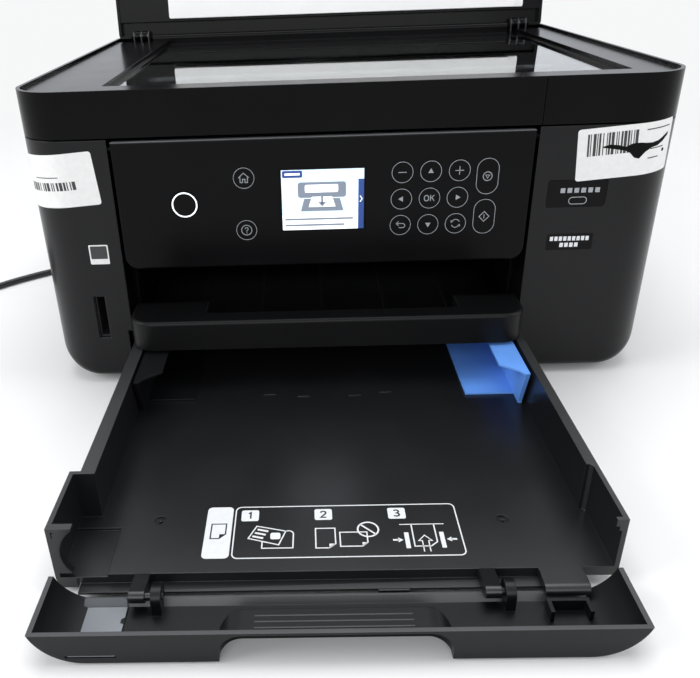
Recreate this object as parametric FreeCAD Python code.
"""Multifunction inkjet printer with a front paper cassette, a tilting control panel and a flatbed scanner.

Millimetres, +Z up, +Y to the rear, +X to the right seen from the front. While it is modelled, Y = 0 is the
front face of the two columns. Every piece is then moved so that the origin is the bottom centre of the whole
printer as it stands with its cassette pulled out and its lid open.
"""
import FreeCAD, Part
import math
import os

V = FreeCAD.Vector

# ---- driving dimensions: casing -------------------------------------------------------------------------
BODY_W = 375.0          # overall width
BODY_D = 300.0          # depth of the casing
FOOT_H = 4.0            # rubber feet under the casing
SEAM_Z = 156.2          # underside of the scanner unit
BODY_TOP = 155.2        # top of the lower casing
RIM_Z = 181.6           # top of the scanner's outer rim
CORNER_R = 28.0         # front vertical corners
SIDE_R = 20.0           # bottom edge along each side
FRONT_R = 5.0           # bottom edge along the front
REAR_R = 6.0            # rear outline
WALL = 2.5              # casing wall
COL_L = -134.6          # inner face of the left column
COL_R = 105.2           # inner face of the right column
RETURN_D = 100.0        # depth of the columns' inner walls
BAY_Z = 34.0            # top of the low walls beside the cassette
REBATE = (-137.4, 31.0, 37.0)          # x, depth and height of the hollow for the cassette's wide front
CARD_WINDOW = (-155.4, -149.4, 32.4, 60.4)
PLAQUE = (113.0, 146.8, 109.1, 125.2)
PAPER_X = (COL_L + COL_R) / 2.0      # centre line of the paper path
HALF_W = BODY_W / 2.0

# ---- driving dimensions: scanner and lid ----------------------------------------------------------------
DECK_Z = 179.6          # flat areas beside the glass
RECESS_Z = 176.5        # level of the glass
GLASS = (-138.0, 160.0, 31.0, 246.0)   # x0, x1, y0, y1 of the glass
SCAN_FLOOR = 157.0
SCAN_STEP_Y = 288.0     # the scanner case stops here, in front of the lift hinge
LIFT_Y, LIFT_Z = 293.5, 160.0
LIFT_X = (-116.0, 84.0)
LID_Y, LID_Z = 290.0, 183.1            # axis of the document lid
LID_OPEN = 97.0         # degrees from closed to the open stop
LID_HALF = 185.0
LID_BOTTOM, LID_TOP = 182.0, 190.0
PAD = (-138.5, 160.0, 31.0, 277.0)     # the foam that presses on the glass
PAD_EDGE = 167.5        # right edge of the pad's thin border
HINGE_X = (-165.0, 165.0)
HINGE_GAP = 9.5         # half the width of the lid's cut-out round a hinge
ROD_Y, ROD_Z, ROD_R = 141.0, 163.0, 2.5

# ---- driving dimensions: control panel ------------------------------------------------------------------
PANEL = (-133.1, 103.7, 77.9, 154.0)   # x0, x1, z0, z1
PANEL_T = 3.0           # fascia thickness
PANEL_D = 20.0          # whole depth of the panel
PIVOT_Y, PIVOT_Z = 5.2, 149.3
KEY_R = 6.15
KEY_GAP = 0.3
KEY_FLANGE = 1.0
KEY_BACK = 6.6
ROUND_KEYS = {
    "home": (-59.1, 131.7), "help": (-59.1, 100.9),
    "minus": (30.6, 132.3), "up": (46.6, 132.4), "plus": (62.6, 132.5),
    "left": (30.5, 116.9), "ok": (46.5, 117.0), "right": (62.4, 117.0),
    "back": (30.4, 101.4), "down": (46.4, 101.4), "copy": (62.3, 101.5),
}
POWER_KEY = (-94.1, 117.1, 8.0)
PILL_KEYS = {"stop": (78.5, 128.7), "start": (78.5, 105.2)}
PILL_W, PILL_H = 12.7, 20.8
LCD = (-39.0, 10.2, 99.0, 136.5)

# ---- driving dimensions: paper handling -----------------------------------------------------------------
TRAY_FRONT = -25.0      # front of the output tray's lip
LIP_X = (-131.3, 103.6)
LIP_Z = (35.6, 53.8)
LIP_NOTCH = (-85.6, 65.5)
LIP_T = 12.0
TRAY_BACK = 172.0
TRAY_Z = (37.2, 39.4)
CASSETTE_FRONT = -178.5
CASSETTE_WIDE_BACK = -139.5            # the front stretch, wider on the left, ends here
CASSETTE_BACK = 118.0
CASSETTE_Z = (7.0, 34.8)
CASSETTE_FLOOR = 9.2
CASSETTE_X = (-131.5, 104.4)
CASSETTE_WIDE_X = -136.6
RIM_L, RIM_R = 7.0, 5.0                # widths of the two side rims
RIM_WALL = 1.6
STEP_D = 1.5            # depth of the hollow in the floor's front corner
LEDGE = (-126.0, 88.0, -184.0, 3.0)    # x0, x1, front and underside of the lip under the floor
FLAP_X = (-136.9, 102.9)
FLAP_FRONT, FLAP_BACK = -216.9, -186.0
FLAP_Z = (0.4, 16.0)
FLAP_T = 2.0            # wall and floor of the flap
FLAP_HEEL = 7.9         # the flap's heel is rounded about the hinge axis with this radius
FLAP_AXIS_Y, FLAP_AXIS_Z = -190.5, 8.5
FLAP_ARMS = (-101.9, 45.2)             # left sides of the two arms that carry the flap
ARM_W = 6.6
FLAP_DISCS = (-92.3, 52.9)             # left sides of the flap's two hinge discs
DISC_W = 4.2
GRIP_X = (-62.5, 28.0)                 # finger opening in the flap
GRIP_D = 11.2
GRIP_R = 9.5            # upper corners of the finger opening
FLAP_R = 22.0           # lower corners of the flap
GUIDE_X = -12.9         # midway between the paper guides
GUIDE_Y = (-40.4, 40.0)
GUIDE_Z = (9.4, 33.6)
GUIDE_LEAN = 8.5        # the blades lean forward by this much
PAGE_HALF = 108.2       # half the width of the widest sheet, plus play

# ---- driving dimensions: mechanism ----------------------------------------------------------------------
FRAME_L, FRAME_R = -148.0, 180.0       # inner faces of the side plates
PLATE = 2.0
FEED_Y, OUT_Y, ROLLER_Z = 205.0, 118.0, 66.0
FEED_R, OUT_R = 8.0, 6.5
FEED_SHAFT, OUT_SHAFT = 5.0, 3.0
RUN_CLEAR = 0.05        # radial running clearance of shafts in holes
ARM_Y, ARM_Z = 190.0, 46.0
PICK_Y, PICK_Z, PICK_R = 240.0, 50.0, 10.0
CARRIAGE = (74.0, 176.0, 124.0, 190.0, 78.0, 144.0)
BELT_X = (-130.0, 158.0)
BELT_Z = 107.0
FEED_MOTOR = (235.0, 100.0)

# ---- driving dimensions: mains lead ---------------------------------------------------------------------
CORD_R = 2.5
INLET_X, INLET_Z = -165.0, 28.0
COIL_X, COIL_Y = -345.0, 118.0
COIL_R = (20.0, 35.0)
COIL_H = 10.0
CORD_ROUTE = [
    (-165.0, 352.0, 28.0), (-165.5, 371.0, 26.0), (-169.0, 389.0, 15.0), (-180.0, 403.0, 5.2),
    (-197.0, 408.0, 2.7), (-214.0, 399.0, 2.6), (-223.0, 378.0, 2.6), (-223.5, 347.0, 2.6),
    (-218.0, 308.0, 2.6), (-217.5, 268.0, 2.6), (-219.0, 232.0, 2.6), (-232.0, 199.5, 2.6),
    (-269.0, 175.0, 2.6), (-296.0, 147.0, 2.6), (-318.0, 146.0, 2.6), (-347.0, 150.6, 2.6),
]
PLUG_X, PLUG_Z = -377.5, 8.0
PLUG_Y = (42.0, 59.0, 84.0, 107.0)     # pin tips, front of the body, back of the body, end of its sleeve

REACH_BACK = (LID_Y + (LID_Y - 5.0) * math.sin(math.radians(LID_OPEN - 90.0))
              + (LID_TOP - LID_Z) * math.cos(math.radians(LID_OPEN - 90.0)))
ORIGIN_Y = round((REACH_BACK + FLAP_FRONT) / 2.0, 1)


# ---- helpers --------------------------------------------------------------------------------------------
def box(x0, x1, y0, y1, z0, z1):
    return Part.makeBox(x1 - x0, y1 - y0, z1 - z0, V(x0, y0, z0))


def rod_x(y, z, r, x0, x1):
    return Part.makeCylinder(r, x1 - x0, V(x0, y, z), V(1, 0, 0))


def rod_y(x, z, r, y0, y1):
    return Part.makeCylinder(r, y1 - y0, V(x, y0, z), V(0, 1, 0))


def rod_z(x, y, r, z0, z1):
    return Part.makeCylinder(r, z1 - z0, V(x, y, z0), V(0, 0, 1))


def fuse(shapes):
    first = shapes[0]
    if len(shapes) == 1:
        return first
    return first.multiFuse(shapes[1:]).removeSplitter()


def edges_where(shape, test):
    return [e for e in shape.Edges if test(e.BoundBox)]


def upright_at(shape, corners, tolerance=0.01):
    """Upright edges of a prism standing at the given plan corners."""
    def hit(b):
        flat = b.XLength < tolerance and b.YLength < tolerance and b.ZLength > 1.0
        return flat and any(abs(b.XMin - x) < tolerance and abs(b.YMin - y) < tolerance for x, y in corners)
    return edges_where(shape, hit)


def plan_prism(x0, x1, y0, y1, z0, z1, front_r, back_r=0.0):
    """Box with rounded upright corners."""
    body = box(x0, x1, y0, y1, z0, z1)
    if front_r:
        body = body.makeFillet(front_r, upright_at(body, [(x0, y0), (x1, y0)]))
    if back_r:
        body = body.makeFillet(back_r, upright_at(body, [(x0, y1), (x1, y1)]))
    return body


def front_prism(x0, x1, y0, y1, z0, z1, bottom_r, top_r=0.0):
    """Box with rounded corners in front view."""
    body = box(x0, x1, y0, y1, z0, z1)
    for z, r in ((z0, bottom_r), (z1, top_r)):
        if r:
            def lies(b, level=z):
                along_y = b.YLength > 0.5 and b.XLength < 0.01 and b.ZLength < 0.01
                return along_y and abs(b.ZMin - level) < 0.01
            body = body.makeFillet(r, edges_where(body, lies))
    return body


def pill_y(x, z, width, height, y0, y1):
    """Upright pill shape, extruded along Y."""
    r = width / 2.0
    straight = height / 2.0 - r
    return fuse([box(x - r, x + r, y0, y1, z - straight, z + straight),
                 rod_y(x, z + straight, r, y0, y1), rod_y(x, z - straight, r, y0, y1)])


def belt_loop(c1, r1, c2, r2, thick, place, width):
    """Closed belt round two pulleys. place maps the belt's plane and depth to space."""
    def outline(grow):
        dx, dy = c2[0] - c1[0], c2[1] - c1[1]
        base = math.atan2(dy, dx)
        lean = math.acos((r1 - r2) / math.hypot(dx, dy))
        a, b = r1 + grow, r2 + grow

        def at(c, r, angle):
            return place(c[0] + r * math.cos(angle), c[1] + r * math.sin(angle), 0.0)
        top1, low1 = at(c1, a, base + lean), at(c1, a, base - lean)
        top2, low2 = at(c2, b, base + lean), at(c2, b, base - lean)
        edges = [Part.Arc(top1, at(c1, a, base + math.pi), low1).toShape(),
                 Part.LineSegment(low1, low2).toShape(),
                 Part.Arc(low2, at(c2, b, base), top2).toShape(),
                 Part.LineSegment(top2, top1).toShape()]
        return Part.Face(Part.Wire(edges))
    across = place(0.0, 0.0, width) - place(0.0, 0.0, 0.0)
    return outline(thick).extrude(across).cut(outline(0.0).extrude(across))


# ---- casing ---------------------------------------------------------------------------------------------
def body_outside():
    """Outer form of the lower casing: big front corners, soft bottom edges along the sides."""
    z0, z1 = FOOT_H, BODY_TOP
    rear = box(-HALF_W, HALF_W, CORNER_R, BODY_D, z0, z1)
    rear = rear.makeFillet(SIDE_R, edges_where(
        rear, lambda b: b.YLength > 100.0 and abs(b.ZMax - z0) < 0.01))
    rear = rear.makeFillet(REAR_R, edges_where(
        rear, lambda b: b.YMin > BODY_D - 0.01 and b.ZMin < z1 - 0.01 and abs(b.XMax + b.XMin) > 1.0))
    inner_x = HALF_W - CORNER_R
    middle = box(-inner_x, inner_x, 0.0, CORNER_R, z0, z1)
    middle = middle.makeFillet(FRONT_R, edges_where(
        middle, lambda b: b.XLength > 100.0 and b.YMax < 0.01 and abs(b.ZMax - z0) < 0.01))
    pieces = [rear, middle]
    for side in (-1.0, 1.0):
        corner = rod_z(side * inner_x, CORNER_R, CORNER_R, z0, z1)
        low, high = sorted((side * inner_x, side * HALF_W))
        corner = corner.common(box(low, high, 0.0, CORNER_R, z0, z1))
        arc = edges_where(corner, lambda b: abs(b.ZMax - z0) < 0.01 and b.XLength > 20.0 and b.YLength > 20.0)
        start_is_side = abs(arc[0].valueAt(arc[0].FirstParameter).y - CORNER_R) < 0.01
        first, last = (SIDE_R, FRONT_R) if start_is_side else (FRONT_R, SIDE_R)
        pieces.append(corner.makeFillet(first, last, arc))
    return fuse(pieces)


def body_hollow():
    """Room inside the lower casing."""
    inside = plan_prism(-HALF_W + WALL, HALF_W - WALL, WALL, BODY_D - WALL,
                        FOOT_H + WALL, BODY_TOP - WALL, CORNER_R - WALL)
    low = edges_where(inside, lambda b: abs(b.ZMax - FOOT_H - WALL) < 0.01 and b.YMin < BODY_D - WALL - 0.01)
    return inside.makeFillet(SIDE_R - WALL, low)


def side_covers():
    """The two columns with their inner walls, which run on as low walls beside the cassette."""
    shell = body_outside().cut(body_hollow())
    pivot = (PIVOT_Y, PIVOT_Z, 1.8 + RUN_CLEAR)
    left = shell.common(box(-HALF_W - 1, COL_L, -1, BODY_D + 1, 0, SEAM_Z))
    left = fuse([left, box(COL_L - 2.0, COL_L, 0.5, RETURN_D, FOOT_H + 0.5, BODY_TOP),
                 box(COL_L - 1.6, COL_L, RETURN_D - 1.0, 290.0, FOOT_H + 0.5, BAY_Z)])
    rebate_x, rebate_d, rebate_z = REBATE
    left = fuse([left, box(rebate_x - 2.0, COL_L, 0.5, rebate_d + 2.0, FOOT_H + 0.5, rebate_z + 2.0)])
    left = left.cut(box(rebate_x, COL_L + 1, -1, rebate_d, 0, rebate_z))
    left = left.cut(rod_x(*pivot, COL_L - 3.0, COL_L + 1.0))
    x0, x1, z0, z1 = CARD_WINDOW
    left = left.cut(box(x0, x1, -1, WALL + 1, z0, z1))
    left = left.cut(box(x0 - 0.6, x1 + 0.6, -1, 0.6, z0 - 0.6, z1 + 0.6))
    left = left.cut(box(INLET_X - 12.0, INLET_X + 12.0, BODY_D - WALL - 1, BODY_D + 1, 18.0, 38.0))
    right = shell.common(box(COL_R, HALF_W + 1, -1, BODY_D + 1, 0, SEAM_Z))
    right = fuse([right, box(COL_R, COL_R + 2.0, 0.5, RETURN_D, FOOT_H + 0.5, BODY_TOP),
                  box(COL_R, COL_R + 1.6, RETURN_D - 1.0, 290.0, FOOT_H + 0.5, BAY_Z)])
    right = right.cut(rod_x(*pivot, COL_R - 1.0, COL_R + 3.0))
    right = right.cut(box(130.0, 142.0, BODY_D - WALL - 1, BODY_D + 1, 40.0, 51.0))
    x0, x1, z0, z1 = PLAQUE
    return left, right.cut(front_prism(x0, x1, -1.0, 0.5, z0, z1, 1.5, 1.5))


def bottom_case():
    """Floor between the columns with the cassette's stop and two runners."""
    walls = [box(COL_L, COL_R, 3.0, BODY_D - WALL, FOOT_H, FOOT_H + 2.0),
             box(COL_L, COL_R, 288.0, 290.0, FOOT_H, BAY_Z)]
    runners = [box(x - 2.0, x + 2.0, 5.0, 286.0, FOOT_H, 6.7) for x in (PAPER_X - 100.0, PAPER_X + 100.0)]
    return fuse(walls + runners)


def rear_cover():
    """Back of the casing: duplex opening, a row of air slots and the two ears of the lift hinge."""
    plate = box(COL_L, COL_R, BODY_D - WALL, BODY_D, FOOT_H, BODY_TOP)
    plate = plate.cut(box(-110.0, 75.0, BODY_D - 5.0, BODY_D + 1.0, 50.0, 125.0))
    slots = [box(-120.0 + 14.0 * i, -112.0 + 14.0 * i, BODY_D - 5.0, BODY_D + 1.0, 133.0, 136.0)
             for i in range(14)]
    plate = plate.cut(fuse(slots))
    lugs = [plate]
    for x in LIFT_X:
        lugs.append(box(x - 4.0, x + 4.0, LIFT_Y - 3.7, BODY_D - WALL, 144.0, BODY_TOP - 1.5))
        lugs.append(box(x - 4.0, x + 4.0, LIFT_Y - 3.7, LIFT_Y + 3.0, 144.0, LIFT_Z))
        lugs.append(rod_x(LIFT_Y, LIFT_Z, 3.7, x - 4.0, x + 4.0))
    cover = fuse(lugs)
    for x in LIFT_X:
        cover = cover.cut(rod_x(LIFT_Y, LIFT_Z, 2.0 + RUN_CLEAR, x - 5.0, x + 5.0))
    return cover


def front_opening_frame():
    """Dark shroud behind the panel and round the paper exit, with the rails of the output tray."""
    x0, x1 = COL_L, COL_R
    parts = [box(x0, x1, 24.0, 26.0, 74.0, 152.0),
             box(x0, x1, 24.0, 100.0, 74.0, 76.0),
             box(x0, x1, 24.0, 40.0, 150.0, 152.0)]
    for a, b, rail_a, rail_b in ((x0, x0 + 2.0, x0, x0 + 9.0), (x1 - 2.0, x1, x1 - 9.0, x1)):
        parts.append(box(a, b, 24.0, 100.0, 35.2, 76.0))
        parts.append(box(a, b, 100.0, 175.0, 35.2, 44.0))
        parts.append(box(rail_a, rail_b, 24.0, 175.0, 35.2, 36.9))
    return fuse(parts)


def rubber_feet():
    places = [(-154.0, 32.0), (-154.0, 268.0), (150.0, 32.0), (150.0, 268.0)]
    feet = []
    for x, y in places:
        foot = rod_z(x, y, 7.0, 0.0, FOOT_H)
        feet.append(foot.makeFillet(1.0, edges_where(foot, lambda b: b.ZMax < 0.01)))
    return Part.makeCompound(feet)


# ---- mechanism ------------------------------------------------------------------------------------------
def mechanism_frame():
    x0, x1 = FRAME_L - PLATE, FRAME_R + PLATE
    plates = [box(x0, FRAME_L, 100.0, 260.0, FOOT_H + WALL, 148.0),
              box(FRAME_R, x1, 100.0, 260.0, 40.0, 148.0),
              box(x0, x1, 105.0, 195.0, 54.0, 56.0),
              box(x0, x1, 202.0, 204.0, 80.0, 148.0),
              box(107.0, 109.0, 110.0, 195.0, FOOT_H + WALL, 54.0)]
    brackets = [box(x, x + 2.0, ARM_Y - 5.0, ARM_Y + 5.0, 41.0, 56.0) for x in (-48.0, 11.0)]
    frame = fuse(plates + brackets)
    holes = [rod_x(FEED_Y, ROLLER_Z, FEED_SHAFT + RUN_CLEAR, x0 - 1, x1 + 1),
             rod_x(OUT_Y, ROLLER_Z, OUT_SHAFT + RUN_CLEAR, x0 - 1, x1 + 1),
             rod_x(ARM_Y, ARM_Z, 3.0 + RUN_CLEAR, -49.0, 14.0),
             rod_x(FEED_MOTOR[0], FEED_MOTOR[1], 3.0, x0 - 1, FRAME_L + 1),
             rod_y(BELT_X[1], BELT_Z, 3.0, 201.0, 205.0)]
    for hole in holes:
        frame = frame.cut(hole)
    return frame


def carriage_rail():
    rail = fuse([box(FRAME_L, FRAME_R, 199.0, 202.0, 88.0, 148.0),
                 box(FRAME_L, FRAME_R, 186.0, 202.0, 146.0, 148.0)])
    rail = rail.cut(rod_y(BELT_X[1], BELT_Z, 3.0, 198.0, 203.0))
    idler = rod_y(BELT_X[0], BELT_Z, 6.0, 192.4, 196.6)
    return fuse([rail, idler, rod_y(BELT_X[0], BELT_Z, 2.0, 190.8, 199.0)])


def carriage_motor():
    x = BELT_X[1]
    return fuse([rod_y(x, BELT_Z, 14.0, 204.0, 236.0), rod_y(x, BELT_Z, 2.0, 192.0, 204.0),
                 rod_y(x, BELT_Z, 6.0, 192.4, 196.6)])


def feed_motor():
    y, z = FEED_MOTOR
    return fuse([rod_x(y, z, 13.0, FRAME_L, -112.0), rod_x(y, z, 2.0, -157.0, FRAME_L),
                 rod_x(y, z, 5.0, -156.0, -151.6)])


def timing_belts():
    """Carriage belt, motor belt of the feed roller, and the belt from the feed to the output roller."""
    carriage = belt_loop((BELT_X[0], BELT_Z), 6.05, (BELT_X[1], BELT_Z), 6.05, 1.0,
                         lambda a, b, c: V(a, 192.6 + c, b), 3.8)
    feed = belt_loop((FEED_Y, ROLLER_Z), 10.05, FEED_MOTOR, 5.05, 1.0,
                     lambda a, b, c: V(-155.8 + c, a, b), 4.0)
    output = belt_loop((FEED_Y, ROLLER_Z), 8.05, (OUT_Y, ROLLER_Z), 6.55, 1.0,
                       lambda a, b, c: V(-161.8 + c, a, b), 4.0)
    return Part.makeCompound([carriage, feed, output])


def platen():
    x0, x1 = PAPER_X - 110.0, PAPER_X + 110.0
    ribs = [box(x0 + 4.0 + 18.0 * i, x0 + 6.0 + 18.0 * i, 126.0, 195.0, 66.0, 71.0) for i in range(13)]
    return fuse([box(x0, x1, 126.0, 195.0, 56.0, 68.0)] + ribs)


def cap_station():
    base = box(112.0, 172.0, 128.0, 188.0, 56.0, 66.0)
    cup = box(122.0, 150.0, 140.0, 176.0, 66.0, 72.0).cut(box(124.0, 148.0, 142.0, 174.0, 67.5, 73.0))
    wiper = box(158.0, 160.0, 142.0, 174.0, 66.0, 72.0)
    return fuse([base, cup, wiper])


def waste_ink_box():
    return plan_prism(114.0, 164.0, 118.0, 228.0, FOOT_H + WALL, 48.0, 3.0, 3.0)


def power_supply():
    case = box(-HALF_W + WALL, -164.0, 110.0, 270.0, 45.0, 125.0)
    vents = [box(-HALF_W, -181.0, 125.0 + 12.0 * i, 129.0 + 12.0 * i, 60.0, 110.0) for i in range(11)]
    return case.cut(fuse(vents))


def main_board():
    """Board at the rear of the right column, with its chips and the USB socket."""
    board = box(112.0, 178.0, 285.0, 286.6, 30.0, 140.0)
    socket = box(130.0, 142.0, 286.6, 299.4, 40.0, 51.0).cut(box(131.8, 140.2, 290.0, 301.0, 41.6, 49.4))
    chips = [box(122.0, 136.0, 283.0, 285.0, 70.0, 84.0), box(146.0, 166.0, 283.0, 285.0, 96.0, 116.0),
             box(120.0, 130.0, 282.0, 285.0, 112.0, 132.0)]
    return fuse([board, socket] + chips)


def ac_inlet():
    body = box(INLET_X - 12.0, INLET_X + 12.0, 276.0, 299.4, 18.0, 38.0)
    well = fuse([rod_y(INLET_X - 4.0, INLET_Z, 4.3, 286.0, 301.0),
                 rod_y(INLET_X + 4.0, INLET_Z, 4.3, 286.0, 301.0),
                 box(INLET_X - 4.0, INLET_X + 4.0, 286.0, 301.0, INLET_Z - 4.3, INLET_Z + 4.3)])
    pins = [rod_y(x, INLET_Z, 1.2, 285.0, 296.0) for x in (INLET_X - 4.0, INLET_X + 4.0)]
    return fuse([body.cut(well)] + pins)


def card_slot():
    x0, x1, z0, z1 = CARD_WINDOW
    body = box(x0 - 1.7, x1 + 1.4, WALL, 36.0, z0 - 2.4, z1 + 2.6)
    return body.cut(box(x0 + 0.6, x1 - 0.6, WALL - 1, 32.0, z0 + 0.8, z1 - 0.6))


def duplex_unit():
    """Removable rear paper turner with its curved guide and a finger grip."""
    block = box(-109.5, 74.5, 264.0, BODY_D - 0.4, 50.5, 124.5)
    bend = rod_x(264.0, 87.0, 26.0, -104.0, 69.0)
    grip = box(-45.0, 10.0, BODY_D - 14.0, BODY_D + 1.0, 104.0, 118.0)
    block = block.cut(bend).cut(grip)
    ribs = [box(-100.0 + 24.0 * i, -98.0 + 24.0 * i, 264.0, 290.0, 60.0, 114.0) for i in range(8)]
    groove = rod_x(264.0, 87.0, 23.0, -104.0, 69.0)
    return fuse([block] + [r.cut(groove) for r in ribs])


def feed_roller():
    return fuse([rod_x(FEED_Y, ROLLER_Z, FEED_SHAFT, -162.5, FRAME_R + PLATE + 1.0),
                 rod_x(FEED_Y, ROLLER_Z, FEED_R, PAPER_X - 108.0, PAPER_X + 108.0),
                 rod_x(FEED_Y, ROLLER_Z, 10.0, -156.2, -151.6),
                 rod_x(FEED_Y, ROLLER_Z, 8.0, -162.2, -157.6)])


def output_roller():
    rings = [rod_x(OUT_Y, ROLLER_Z, OUT_R, PAPER_X + x - 5.0, PAPER_X + x + 5.0)
             for x in (-96.0, -58.0, -20.0, 20.0, 58.0, 96.0)]
    return fuse([rod_x(OUT_Y, ROLLER_Z, OUT_SHAFT, -162.5, FRAME_R + PLATE + 1.0),
                 rod_x(OUT_Y, ROLLER_Z, 6.5, -162.2, -157.6)] + rings)


def pickup_arm():
    lean = math.degrees(math.atan2(PICK_Z - ARM_Z, PICK_Y - ARM_Y))
    length = math.hypot(PICK_Y - ARM_Y, PICK_Z - ARM_Z)
    arm = [rod_x(ARM_Y, ARM_Z, 3.0, -48.0, 13.0)]
    for x in (-38.5, -0.5):
        bar = box(x, x + 4.0, ARM_Y, ARM_Y + length, ARM_Z - 3.5, ARM_Z + 3.5)
        bar.rotate(V(0, ARM_Y, ARM_Z), V(1, 0, 0), lean)
        end = rod_x(PICK_Y, PICK_Z, 5.0, x, x + 4.0)
        root = rod_x(ARM_Y, ARM_Z, 4.5, x, x + 4.0)
        arm += [bar, end, root]
    cross = box(-36.0, 1.0, ARM_Y + 14.0, ARM_Y + 17.0, ARM_Z - 2.0, ARM_Z + 4.0)
    return fuse(arm + [cross]).cut(rod_x(PICK_Y, PICK_Z, 2.5 + RUN_CLEAR, -40.0, 5.0))


def pickup_roller():
    return fuse([rod_x(PICK_Y, PICK_Z, PICK_R, -34.0, -1.0), rod_x(PICK_Y, PICK_Z, 2.5, -38.5, 3.5)])


def print_carriage():
    x0, x1, y0, y1, z0, z1 = CARRIAGE
    holder = box(x0, x1, y0, y1, z0, z1).cut(box(x0 + 2, x1 - 2, y0 + 2, y1 - 2, z0 + 3, z1 + 1))
    divides = [box(x, x + 1.6, y0 + 1, y1 - 1, z0 + 1, z0 + 34.0)
               for x in (x0 + 25.2, x0 + 50.2, x0 + 75.2)]
    head = box(x0 + 21.0, x1 - 21.0, 140.0, 175.0, 73.0, z0)
    hook = [box(x0, x1, 183.0, 185.6, z1 - 6.0, 150.4), box(x0, x1, 183.0, 199.0, 148.4, 150.4)]
    clip = [box(118.0, 132.0, y1 - 1.0, 192.2, 109.0, 112.0)]
    return fuse([holder, head] + divides + hook + clip)


def ink_cartridges():
    x0, x1, y0, y1, z0, z1 = CARRIAGE
    tanks = []
    for i in range(4):
        left = x0 + 3.0 + 25.0 * i
        tank = box(left, left + 21.4, y0 + 3.0, y1 - 9.0, z0 + 3.0, z1 - 8.0)
        tank = fuse([tank, box(left + 5.0, left + 16.0, y0 + 3.0, y0 + 16.0, z1 - 8.0, z1 - 2.0)])
        tanks.append(tank)
    return Part.makeCompound(tanks)


# ---- scanner and lid ------------------------------------------------------------------------------------
def scanner_top_frame():
    top = plan_prism(-HALF_W, HALF_W, 0.0, BODY_D, SEAM_Z, RIM_Z, CORNER_R, REAR_R)
    top = top.cut(plan_prism(-HALF_W + WALL, HALF_W - WALL, WALL, BODY_D - WALL, SEAM_Z - 1, 171.5,
                             CORNER_R - WALL, REAR_R - WALL))
    top = top.cut(plan_prism(-HALF_W + 2.2, HALF_W - 2.2, 2.2, BODY_D - 2.4, DECK_Z, RIM_Z + 1,
                             CORNER_R - 2.2, REAR_R - 2.4))
    gx0, gx1, gy0, gy1 = GLASS
    top = top.cut(plan_prism(gx0 - 2.0, gx1 + 2.0, gy0 - 2.0, 281.0, RECESS_Z, RIM_Z + 1, 2.0))
    top = top.cut(box(-LID_HALF - 0.3, LID_HALF + 0.3, 280.0, BODY_D - 2.4, RECESS_Z, RIM_Z + 1))
    top = top.cut(box(gx0, gx1, gy0, gy1, 173.0, RIM_Z))
    top = top.cut(box(gx0 + 3, gx1 - 3, gy0 + 3, gy1 - 3, 170.0, RIM_Z))
    top = top.cut(box(-HALF_W - 1, HALF_W + 1, SCAN_STEP_Y, BODY_D + 1, SEAM_Z - 1, LIFT_Z))
    top = top.cut(box(105.2, 106.0, -1.0, 1.0, SEAM_Z - 1, RIM_Z - 1.2))
    bar = box(HINGE_X[0] + 11.0, HINGE_X[1] - 11.0, 280.5, 286.5, RECESS_Z - 1.0, LID_Z + 1.3)
    bar = bar.makeFillet(3.0, edges_where(bar, lambda b: b.YMax < 280.6 and b.ZMin > LID_Z))
    return fuse([top, bar])


def scanner_case():
    x = HALF_W - WALL - 0.5
    tray = plan_prism(-x, x, 3.0, SCAN_STEP_Y - 0.2, SCAN_FLOOR, 171.5, CORNER_R - WALL - 0.5)
    room = plan_prism(-x + 2, x - 2, 5.0, SCAN_STEP_Y - 2.2, SCAN_FLOOR + 2.0, 172.5, CORNER_R - 5.0)
    tray = tray.cut(room)
    parts = [tray]
    for c in LIFT_X:
        for a, b in ((c - 8.0, c - 4.5), (c + 4.5, c + 8.0)):
            parts.append(box(a, b, SCAN_STEP_Y - 1.0, LIFT_Y + 3.0, SCAN_FLOOR, LIFT_Z + 3.0))
        parts.append(rod_x(LIFT_Y, LIFT_Z, 2.0, c - 8.0, c + 8.0))
    return fuse(parts)


def scanner_glass():
    gx0, gx1, gy0, gy1 = GLASS
    return box(gx0 + 0.1, gx1 - 0.1, gy0 + 0.1, gy1 - 0.1, 173.0, RECESS_Z - 0.2)


def scan_guide_rod():
    x = HALF_W - WALL - 2.5
    return rod_x(ROD_Y, ROD_Z, ROD_R, -x, x)


def scan_head():
    bar = box(-168.0, -145.0, 38.0, 245.0, 166.5, 171.0)
    groove = box(-160.0, -156.0, 41.0, 242.0, 169.8, 172.0)
    block = box(-170.0, -143.0, 131.0, 151.0, 159.4, 167.5)
    return fuse([bar.cut(groove), block]).cut(rod_x(ROD_Y, ROD_Z, ROD_R + RUN_CLEAR, -171.0, -142.0))


def lid_hinges():
    """Two combs of three thin blades, each with the pin that carries the lid's ears."""
    combs = []
    for x in HINGE_X:
        parts = [rod_x(LID_Y, LID_Z, 2.0, x - 7.0, x + 7.0)]
        for middle in (x - 6.4, x, x + 6.4):
            parts.append(box(middle - 0.6, middle + 0.6, LID_Y - 4.5, LID_Y + 4.2, RECESS_Z, LID_Z))
            parts.append(rod_x(LID_Y, LID_Z, 4.2, middle - 0.6, middle + 0.6))
        combs.append(fuse(parts))
    return Part.makeCompound(combs)


def open_lid(shape):
    shape.rotate(V(0, LID_Y, LID_Z), V(1, 0, 0), -LID_OPEN)
    return shape


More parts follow.
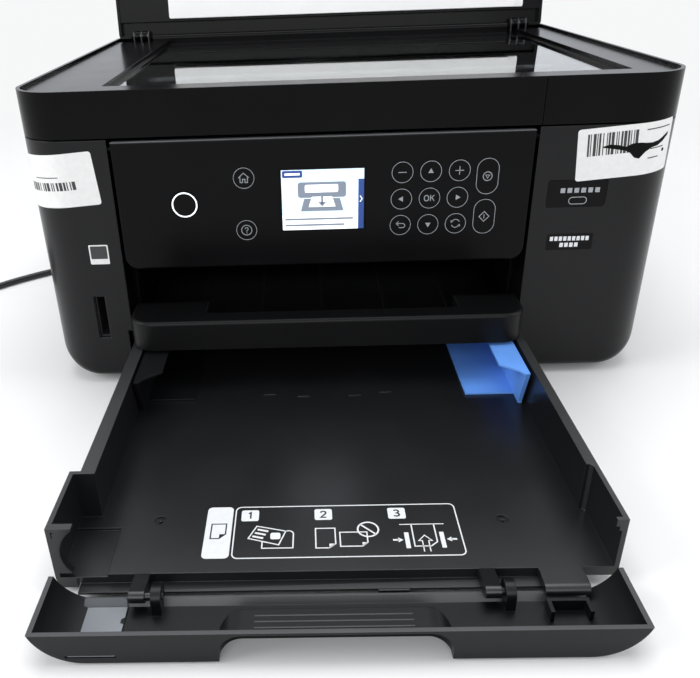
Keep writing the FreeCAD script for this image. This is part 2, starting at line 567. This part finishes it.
def lid_cover():
    z0, z1 = LID_BOTTOM, LID_TOP
    lid = plan_prism(-LID_HALF, LID_HALF, 5.0, LID_Y + 2.0, z0, z1, 26.0, 3.0)
    lid = lid.makeFillet(1.5, edges_where(lid, lambda b: b.ZMin > z1 - 0.01))
    lid = lid.cut(plan_prism(-LID_HALF + 2.2, LID_HALF - 2.2, 7.2, 279.0, z0 - 1, z0 + 1.2, 23.8))
    lid = lid.cut(box(-LID_HALF + 2.2, LID_HALF - 2.2, 278.9, LID_Y, z0 - 1, z1 - 2.0))
    px0, px1, py0, py1 = PAD
    lid = lid.cut(box(px0, PAD_EDGE, py0, py1, z0 - 1, z1 - 3.8))
    for x in HINGE_X:
        lid = lid.cut(box(x - HINGE_GAP, x + HINGE_GAP, LID_Y - 0.1, LID_Y + 3.0, z0 - 1, z1 - 2.0))
        for a, b in ((x - 5.2, x - 1.2), (x + 1.2, x + 5.2)):
            ear = fuse([rod_x(LID_Y, LID_Z, 4.2, a, b), box(a, b, LID_Y - 4.2, LID_Y + 1.8, LID_Z, z1 - 1.5)])
            lid = fuse([lid, ear])
        lid = lid.cut(rod_x(LID_Y, LID_Z, 2.0 + RUN_CLEAR, x - 6.0, x + 6.0))
    return open_lid(lid)


def lid_pad():
    px0, px1, py0, py1 = PAD
    foam = plan_prism(px0, px1, py0, py1, RECESS_Z + 0.7, LID_TOP - 3.8, 1.5, 1.5)
    border = plan_prism(px0, PAD_EDGE, py0, py1, DECK_Z + 0.4, LID_TOP - 3.8, 1.5, 1.5)
    return open_lid(fuse([foam, border]))


# ---- control panel --------------------------------------------------------------------------------------
def key_shapes(grow, y0, y1):
    """Every key's outline grown by some play, as one solid per key."""
    shapes = {"power": rod_y(POWER_KEY[0], POWER_KEY[1], POWER_KEY[2] + grow, y0, y1)}
    for name, (x, z) in ROUND_KEYS.items():
        shapes[name] = rod_y(x, z, KEY_R + grow, y0, y1)
    for name, (x, z) in PILL_KEYS.items():
        shapes[name] = pill_y(x, z, PILL_W + 2 * grow, PILL_H + 2 * grow, y0, y1)
    return shapes


def control_panel_fascia():
    x0, x1, z0, z1 = PANEL
    plate = front_prism(x0, x1, 0.0, PANEL_T, z0, z1, 8.0, 1.5)
    top = edges_where(plate, lambda b: b.YMax < 0.01 and b.ZMin > z1 - 0.01 and b.XLength > 50.0)
    plate = plate.makeFillet(1.4, top)
    for hole in key_shapes(KEY_GAP, -1.0, PANEL_T + 1.0).values():
        plate = plate.cut(hole)
    lx0, lx1, lz0, lz1 = LCD
    return plate.cut(box(lx0 - 0.1, lx1 + 0.1, -1.0, PANEL_T + 1.0, lz0 - 0.1, lz1 + 0.1))


def control_panel_case():
    x0, x1, z0, z1 = PANEL
    case = front_prism(x0 + 0.6, x1 - 0.6, PANEL_T, PANEL_D, z0 + 0.6, z1 - 0.6, 7.4, 1.2)
    inner = front_prism(x0 + 2.6, x1 - 2.6, PANEL_T - 1, PANEL_D - 2.0, z0 + 2.6, z1 - 2.6, 5.4)
    case = case.cut(inner)
    posts = [rod_y(x, z, 3.0, 9.2, PANEL_D - 1.0) for x in (x0 + 12, x1 - 12) for z in (z0 + 14, z1 - 12)]
    pins = [rod_x(PIVOT_Y, PIVOT_Z, 1.8, x - 3.1, x + 3.1) for x in (x0 - 0.1, x1 + 0.1)]
    return fuse([case] + posts + pins)


def panel_board():
    x0, x1, z0, z1 = PANEL
    return box(x0 + 6.0, x1 - 6.0, 7.6, 9.2, z0 + 6.0, z1 - 9.0)


def lcd_screen():
    x0, x1, z0, z1 = LCD
    return fuse([box(x0, x1, 0.2, PANEL_T + 1, z0, z1), box(x0 - 3, x1 + 3, PANEL_T, 7.6, z0 - 3, z1 + 3)])


def keys():
    caps = key_shapes(0.0, -0.1, PANEL_T + 1.0)
    flanges = key_shapes(KEY_FLANGE, PANEL_T + 0.3, PANEL_T + 1.4)
    centres = {"power": POWER_KEY[:2], **ROUND_KEYS, **PILL_KEYS}
    made = {}
    for name, (x, z) in centres.items():
        stem = rod_y(x, z, 2.0, PANEL_T + 1.0, KEY_BACK)
        made["key_" + name] = fuse([caps[name], flanges[name], stem])
    return made


# ---- paper tray and cassette ----------------------------------------------------------------------------
def output_tray():
    x0, x1 = LIP_X
    z0, z1 = LIP_Z
    lip = plan_prism(x0, x1, TRAY_FRONT, 6.0, z0, z1, 14.0, 1.0)
    lip = lip.makeFillet(2.2, edges_where(lip, lambda b: b.ZMin > z1 - 0.01 and b.YMin < 5.9))
    back = TRAY_FRONT + LIP_T
    well = plan_prism(LIP_NOTCH[0], LIP_NOTCH[1], back, 8.0, TRAY_Z[1], z1 + 1, 3.0)
    lip = lip.cut(well)
    plate = box(x0 + 1.5, x1 - 1.5, back, TRAY_BACK, TRAY_Z[0], TRAY_Z[1])
    ribs = [box(x - 0.8, x + 0.8, 8.0, TRAY_BACK - 4.0, TRAY_Z[0], TRAY_Z[1] + 1.0)
            for x in (PAPER_X - 80, PAPER_X - 40, PAPER_X, PAPER_X + 40, PAPER_X + 80)]
    return fuse([lip, plate] + ribs)


def prism(points, place, depth):
    """Solid over a closed outline. place maps the outline to space and depth is the extrusion."""
    corners = [place(a, b) for a, b in points]
    return Part.Face(Part.makePolygon(corners + corners[:1])).extrude(depth)


def cassette_rims():
    """Side walls of the cassette: hollow rims at the rear, thin walls and end posts at the front."""
    z0, z1 = CASSETTE_Z
    x0, x1 = CASSETTE_X
    front, step, back = CASSETTE_FRONT, CASSETTE_WIDE_BACK, CASSETTE_BACK
    wide = CASSETTE_WIDE_X
    parts = []
    for a, b in ((x0, x0 + RIM_L), (x1 - RIM_R, x1)):
        rim = box(a, b, step - 2.0, back, z0, z1)
        parts.append(rim.cut(box(a + RIM_WALL, b - RIM_WALL, step, back - 2.0, z0 - 1, z1 - 2.0)))
    parts.append(box(wide, wide + 2.2, front, step, z0, z1))
    parts.append(box(wide, x0 + RIM_L, step - 2.0, step, z0, z1))
    parts.append(box(x1 - 2.2, x1, front, step, z0, z1))
    chamfer = [(x1 - RIM_R, step), (x1, step), (x1, step - 4.0), (x1 - RIM_R + 3.0, step - 4.0)]
    parts.append(prism(chamfer, lambda x, y: V(x, y, z0), V(0, 0, z1 - z0)))
    post = box(wide, wide + 11.0, front, front + 3.4, z0, z1)
    post = post.cut(rod_y(wide + 20.3, 20.5, 16.0, front - 1, front + 4.0))
    for a, b, low, high in ((0.8, 3.4, 2.6, 1.8), (1.7, 2.5, 5.2, 2.6)):
        post = post.cut(box(wide + a, wide + b, front - 1, front + 0.7, z1 - low, z1 - high))
    foot = [(wide, z0), (wide + 0.7, 4.6), (wide + 2.5, 1.8), (wide + 9.1, 1.8), (wide + 9.1, z0)]
    parts += [post, prism(foot, lambda x, z: V(x, front, z), V(0, 3.4, 0))]
    parts.append(box(LEDGE[1], x1 - 0.6, front, front + 2.0, 4.4, z0))
    end = box(x1 - 5.0, x1, front, front + 1.8, z1 - 6.0, z1)
    parts.append(end.cut(box(x1 - 5.5, x1 - 3.4, front - 1, front + 3.0, z1 - 6.5, z1 - 3.6)))
    return parts


def cassette_tray():
    z0 = CASSETTE_Z[0]
    x0, x1 = CASSETTE_X
    front, step, back, floor = CASSETTE_FRONT, CASSETTE_WIDE_BACK, CASSETTE_BACK, CASSETTE_FLOOR
    lip_x0, lip_x1, lip_y, lip_z = LEDGE
    parts = [box(x0, x1, step, back, z0, floor), box(CASSETTE_WIDE_X, x1, front, step, z0, floor),
             box(x0, x1, back - 2.0, back, z0, 30.0),
             box(lip_x0, lip_x1, front, front + 1.5, lip_z, z0 + 0.5),
             box(lip_x0, lip_x1, lip_y, front + 0.5, lip_z, lip_z + 1.2)]
    tray = fuse(parts + cassette_rims())
    tray = tray.cut(box(CASSETTE_WIDE_X + 2.2, -113.8, front - 1, -149.5, floor - STEP_D, floor + 1))
    for x, y in ((-52.3, -35.4), (-32.1, -38.0), (-1.4, -38.2), (16.9, -35.4)):
        tray = tray.cut(box(x, x + 7.4, y - 1.0, y + 0.4, floor - 0.9, floor + 1))
    for x, y in ((-96.3, -144.8), (62.6, -147.9)):
        tray = tray.cut(rod_z(x, y, 2.8, floor - 1.2, floor + 1).cut(rod_z(x, y, 1.0, floor - 2, floor)))
    arms = []
    catch = box(2.5, 15.5, lip_y - 0.8, lip_y + 1.0, lip_z - 1.6, lip_z + 0.8)
    for x in FLAP_ARMS:
        side = [(front + 1.0, z0), (front + 1.0, floor), (front, floor), (FLAP_AXIS_Y, FLAP_AXIS_Z + 2.8),
                (FLAP_AXIS_Y, FLAP_AXIS_Z - 2.8), (front, FLAP_AXIS_Z - 2.6)]
        arms.append(prism(side, lambda y, z, left=x: V(left, y, z), V(ARM_W, 0, 0)))
        arms.append(rod_x(FLAP_AXIS_Y, FLAP_AXIS_Z, 2.8, x, x + ARM_W))
    for x, disc in zip(FLAP_ARMS, FLAP_DISCS):
        arms.append(rod_x(FLAP_AXIS_Y, FLAP_AXIS_Z, 1.8, x, disc + DISC_W + 0.5))
    block = box(70.4, 89.0, -190.8, front + 1.0, FLAP_AXIS_Z - 2.8, floor)
    block = block.makeFillet(3.2, edges_where(block, lambda b: b.YMax < -190.7 and b.ZMin > floor - 0.01))
    return fuse([tray, block, catch] + arms)


def edge_guide(side):
    """One of the two paper guides: a thin foot, an upright blade against the sheet and a folded top."""
    def span(a, b):
        return sorted((GUIDE_X + side * a, GUIDE_X + side * b))
    y0, y1 = GUIDE_Y
    z0, z1 = GUIDE_Z
    a, b = span(80.0, PAGE_HALF + 2.2)
    foot = box(a, b, y0, y1, z0, z0 + 1.3)
    a, b = span(PAGE_HALF, PAGE_HALF + 2.2)
    outline = [(y1, z0), (y1, z1), (y0 - 10.0 - GUIDE_LEAN, z1), (y0 - 10.0, z0 + 1.3), (y0 - 10.0, z0)]
    blade = prism(outline, lambda y, z: V(a, y, z), V(b - a, 0, 0))
    top = [(0.0, y0 - 18.5), (-2.9, y0 - 13.7), (-12.3, y0 - 6.5), (-12.1, y1 - 12.0), (0.0, y1)]
    flange = prism(top, lambda x, y: V(GUIDE_X + side * (PAGE_HALF + x), y, z1 - 1.4), V(0, 0, 1.4))
    rib = box(*span(PAGE_HALF - 16.0, PAGE_HALF + 1.0), 38.0, y1, z0, 20.0)
    return fuse([foot, blade, flange, rib])


def flap_grip():
    """Finger platform of the flap with its three ribs, and the arched opening under it."""
    (a, b), z0, z1 = GRIP_X, FLAP_Z[0], FLAP_Z[1]
    back = FLAP_FRONT + GRIP_D

    def dome(grow, front, top):
        shape = front_prism(a - grow, b + grow, front, back + grow, z0 - 2, top, 0.0, GRIP_R + grow)
        return shape.common(plan_prism(a - grow, b + grow, front, back + grow, z0 - 2, top, 0.0, 8.0 + grow))
    platform = dome(1.2, FLAP_FRONT + 1.0, z1 - 0.4).cut(box(a - 3, b + 3, FLAP_FRONT, back + 3, z0 - 3, z0))
    opening = dome(0.0, FLAP_FRONT - 1.0, z1 - 1.2)
    ribs = [box(-48.3, 13.0, FLAP_FRONT + y, FLAP_FRONT + y + 0.6, z1 - 0.8, z1 - 0.05)
            for y in (2.7, 5.6, 8.5)]
    return platform, opening, ribs


def flap_shell():
    """Trough of the flap: upright front and sides, wide lower corners and a heel round the hinge."""
    x0, x1 = FLAP_X
    z0, z1 = FLAP_Z
    t, high = FLAP_T, z0 + 2.0 * FLAP_R
    outer = front_prism(x0, x1, FLAP_FRONT, FLAP_BACK, z0, high, FLAP_R)
    outer = outer.makeFillet(0.8, edges_where(
        outer, lambda b: b.YMax < FLAP_FRONT + 0.01 and b.XLength > 1.0 and b.ZMax < high - 0.1))
    outer = outer.common(box(x0, x1, FLAP_FRONT, FLAP_BACK, z0, z1))
    hollow = front_prism(x0 + t, x1 - t, FLAP_FRONT + t, FLAP_BACK + 1, z0 + t, high, FLAP_R - t)
    heel = box(x0 - 1, x1 + 1, FLAP_AXIS_Y, FLAP_BACK + 1, z0 - 1, FLAP_AXIS_Z)
    heel = heel.cut(rod_x(FLAP_AXIS_Y, FLAP_AXIS_Z, FLAP_HEEL, x0 - 2, x1 + 2))
    return outer.cut(hollow).cut(heel)


def cassette_flap():
    x0, x1 = FLAP_X
    z0, z1 = FLAP_Z
    floor = z0 + FLAP_T
    platform, opening, ribs = flap_grip()
    slope = [(-190.8, floor - 0.4), (-188.2, floor + 2.6), (-187.2, floor + 2.6), (-186.2, floor + 1.2),
             (-187.0, floor - 0.4)]
    roll = prism(slope, lambda y, z: V(x0 + 15.0, y, z), V(x1 - x0 - 30.0, 0, 0))
    pad = plan_prism(-122.0, -103.0, FLAP_FRONT + 3.0, -190.9, z0 + 0.8, floor + 0.5, 0.8)
    bracket = box(69.2, 86.3, -201.5, -194.2, z0 + 1.5, floor + 5.9)
    bracket = bracket.cut(box(70.8, 84.7, -202.0, -195.8, z0, floor + 7.0))
    flap = fuse([flap_shell(), platform, roll, pad, bracket])
    flap = flap.cut(opening).cut(box(-122.4, -102.2, FLAP_FRONT - 1, FLAP_FRONT + 0.9, 3.6, 5.0))
    flap = fuse([flap] + ribs)
    for a in FLAP_DISCS:
        b = a + DISC_W
        disc = fuse([rod_x(FLAP_AXIS_Y, FLAP_AXIS_Z, 5.0, a, b),
                     box(a, b, FLAP_AXIS_Y - 5.0, FLAP_AXIS_Y + 2.0, z0 + 1.5, FLAP_AXIS_Z)])
        flap = fuse([flap, disc]).cut(rod_x(FLAP_AXIS_Y, FLAP_AXIS_Z, 1.8 + RUN_CLEAR, a - 0.2, b + 0.6))
    return flap


# ---- mains lead -----------------------------------------------------------------------------------------
def tube(points, r):
    """Round tube along straight runs joined by tangent arcs; prints the arcs' radii."""
    pts = [V(*p) for p in points]
    edges, radii, here = [], [], pts[0]
    for before, corner, after in zip(pts, pts[1:], pts[2:]):
        d1, d2 = (corner - before).normalize(), (after - corner).normalize()
        half = d1.getAngle(d2) / 2.0
        back = 0.45 * min((corner - before).Length, (after - corner).Length)
        radius = back / math.tan(half)
        start, end = corner - d1 * back, corner + d2 * back
        inward = (d2 - d1).normalize()
        centre = corner + inward * (radius / math.cos(half))
        middle = centre - inward * radius
        edges += [Part.LineSegment(here, start).toShape(), Part.Arc(start, middle, end).toShape()]
        radii.append(round(radius, 1))
        here = end
    edges.append(Part.LineSegment(here, pts[-1]).toShape())
    path = Part.Wire(edges)
    disc = Part.Wire([Part.makeCircle(r, pts[0], pts[1] - pts[0])])
    solid = path.makePipeShell([disc], True, False)
    expected = math.pi * r * r * path.Length
    print("tube: length %.1f, radii %s, volume %.4f of section times length"
          % (path.Length, radii, solid.Volume / expected))
    return solid


def power_connector():
    """Flat appliance connector with its tapered strain relief."""
    x, z = INLET_X, INLET_Z
    nose = fuse([rod_y(x - 4.0, z, 4.1, 287.0, 300.5), rod_y(x + 4.0, z, 4.1, 287.0, 300.5),
                 box(x - 4.0, x + 4.0, 287.0, 300.5, z - 4.1, z + 4.1)])
    nose = nose.cut(rod_y(x - 4.0, z, 1.5, 286.0, 297.0)).cut(rod_y(x + 4.0, z, 1.5, 286.0, 297.0))
    body = box(x - 9.0, x + 9.0, 300.5, 322.0, z - 5.5, z + 5.5)
    body = body.makeFillet(3.0, edges_where(body, lambda b: b.YLength > 5.0))
    relief = Part.makeCone(5.2, CORD_R + 0.6, 30.0, V(x, 322.0, z), V(0, 1, 0))
    return fuse([nose, body, relief])


def cord_coil():
    hole = rod_z(COIL_X, COIL_Y, COIL_R[0], -1.0, COIL_H + 1)
    return rod_z(COIL_X, COIL_Y, COIL_R[1], 0.0, COIL_H).cut(hole)


def power_plug():
    """Two-pin mains plug with its strain relief, lying beside the coil."""
    x, z = PLUG_X, PLUG_Z
    tip, front, back, sleeve_end = PLUG_Y
    relief = Part.makeCone(5.0, CORD_R + 0.4, sleeve_end - back, V(x, back, z), V(0, 1, 0))
    body = box(x - 11.5, x + 11.5, front, back, z - 7.5, z + 7.5)
    body = body.makeFillet(4.0, edges_where(body, lambda b: b.YLength > 5.0))
    pins = [box(x + s - 0.75, x + s + 0.75, tip, front, z - 3.1, z + 3.1) for s in (-6.35, 6.35)]
    return fuse([body, relief] + pins)


# ---- all pieces -----------------------------------------------------------------------------------------
def all_pieces():
    left, right = side_covers()
    pieces = {
        "bottom_case": bottom_case(), "left_side_cover": left, "right_side_cover": right,
        "rear_cover": rear_cover(), "front_opening_frame": front_opening_frame(),
        "rubber_feet": rubber_feet(),
        "mechanism_frame": mechanism_frame(), "carriage_rail": carriage_rail(),
        "carriage_motor": carriage_motor(), "feed_motor": feed_motor(), "timing_belts": timing_belts(),
        "platen": platen(), "cap_station": cap_station(), "waste_ink_box": waste_ink_box(),
        "power_supply": power_supply(), "main_board": main_board(), "ac_inlet": ac_inlet(),
        "card_slot": card_slot(), "duplex_unit": duplex_unit(), "feed_roller": feed_roller(),
        "output_roller": output_roller(), "pickup_arm": pickup_arm(), "pickup_roller": pickup_roller(),
        "print_carriage": print_carriage(), "ink_cartridges": ink_cartridges(),
        "scanner_top_frame": scanner_top_frame(), "scanner_case": scanner_case(),
        "scanner_glass": scanner_glass(), "scan_guide_rod": scan_guide_rod(), "scan_head": scan_head(),
        "lid_hinges": lid_hinges(), "lid_cover": lid_cover(), "lid_pad": lid_pad(),
        "control_panel_fascia": control_panel_fascia(), "control_panel_case": control_panel_case(),
        "panel_board": panel_board(), "lcd_screen": lcd_screen(),
        "output_tray": output_tray(), "cassette_tray": cassette_tray(),
        "left_edge_guide": edge_guide(-1.0), "right_edge_guide": edge_guide(1.0),
        "cassette_flap": cassette_flap(), "power_cord": tube(CORD_ROUTE, CORD_R),
        "power_connector": power_connector(), "cord_coil": cord_coil(), "power_plug": power_plug(),
    }
    pieces.update(keys())
    return pieces


def main():
    os.makedirs("parts", exist_ok=True)
    for name, shape in all_pieces().items():
        shape.translate(V(0.0, -ORIGIN_Y, 0.0))
        shape.exportStep("parts/%s.step" % name)
    print("origin_y", ORIGIN_Y)


main()
